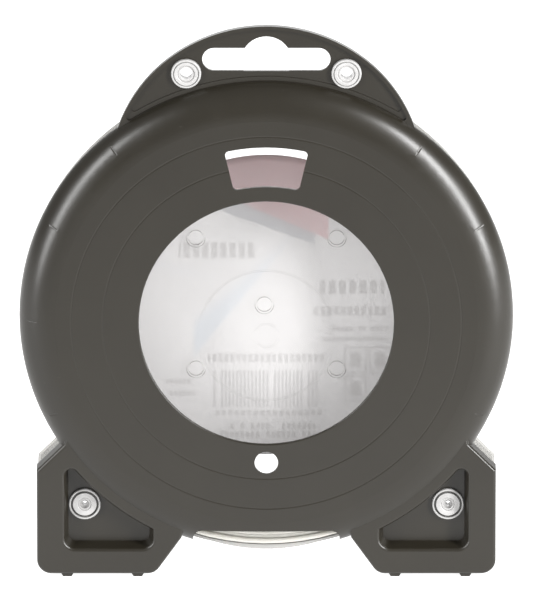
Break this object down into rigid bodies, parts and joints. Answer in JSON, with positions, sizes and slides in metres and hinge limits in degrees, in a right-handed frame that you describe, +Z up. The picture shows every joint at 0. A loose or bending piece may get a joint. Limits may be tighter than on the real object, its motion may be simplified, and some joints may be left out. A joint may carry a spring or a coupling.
{
  "type": "trimmer line dispenser pack",
  "caption": "Round hanging pack of trimmer line: dark rear shell and clear front cover riveted round a loose coil, with a label disc, two feet, a slotted hanging tab and an outlet.",
  "frame": {"origin": "on the surface that the feet stand on, midway across the width and midway through the depth", "axes": "+Z up, the dark rear shell faces -Y, the clear front cover faces +Y, x = 0 is the plane of symmetry"},
  "size_m": [0.1237, 0.019, 0.1438],
  "materials": {
    "rear_plastic": "smooth moulded dark olive-grey plastic, semi-gloss",
    "clear_plastic": "clear thermoformed plastic",
    "label_film": "translucent printed film",
    "nylon_line": "milky white extruded nylon",
    "rivet_plastic": "natural translucent moulded plastic"
  },
  "bodies": {
    "housing": {"rear_shell": "rear_plastic", "front_cover": "clear_plastic", "front_label": "label_film", "rivet_socket_top_left": "rivet_plastic", "rivet_pin_top_left": "rivet_plastic", "rivet_socket_top_right": "rivet_plastic", "rivet_pin_top_right": "rivet_plastic", "rivet_socket_foot_left": "rivet_plastic", "rivet_pin_foot_left": "rivet_plastic", "rivet_socket_foot_right": "rivet_plastic", "rivet_pin_foot_right": "rivet_plastic"},
    "coil": {"line_coil": "nylon_line"}
  },
  "joints": [
    {"name": "coil_spin", "type": "hinge", "parent": "housing", "child": "coil", "pos_m": [0, 0, 0.06775], "axis": [0, 1, 0], "continuous": true}
  ]
}
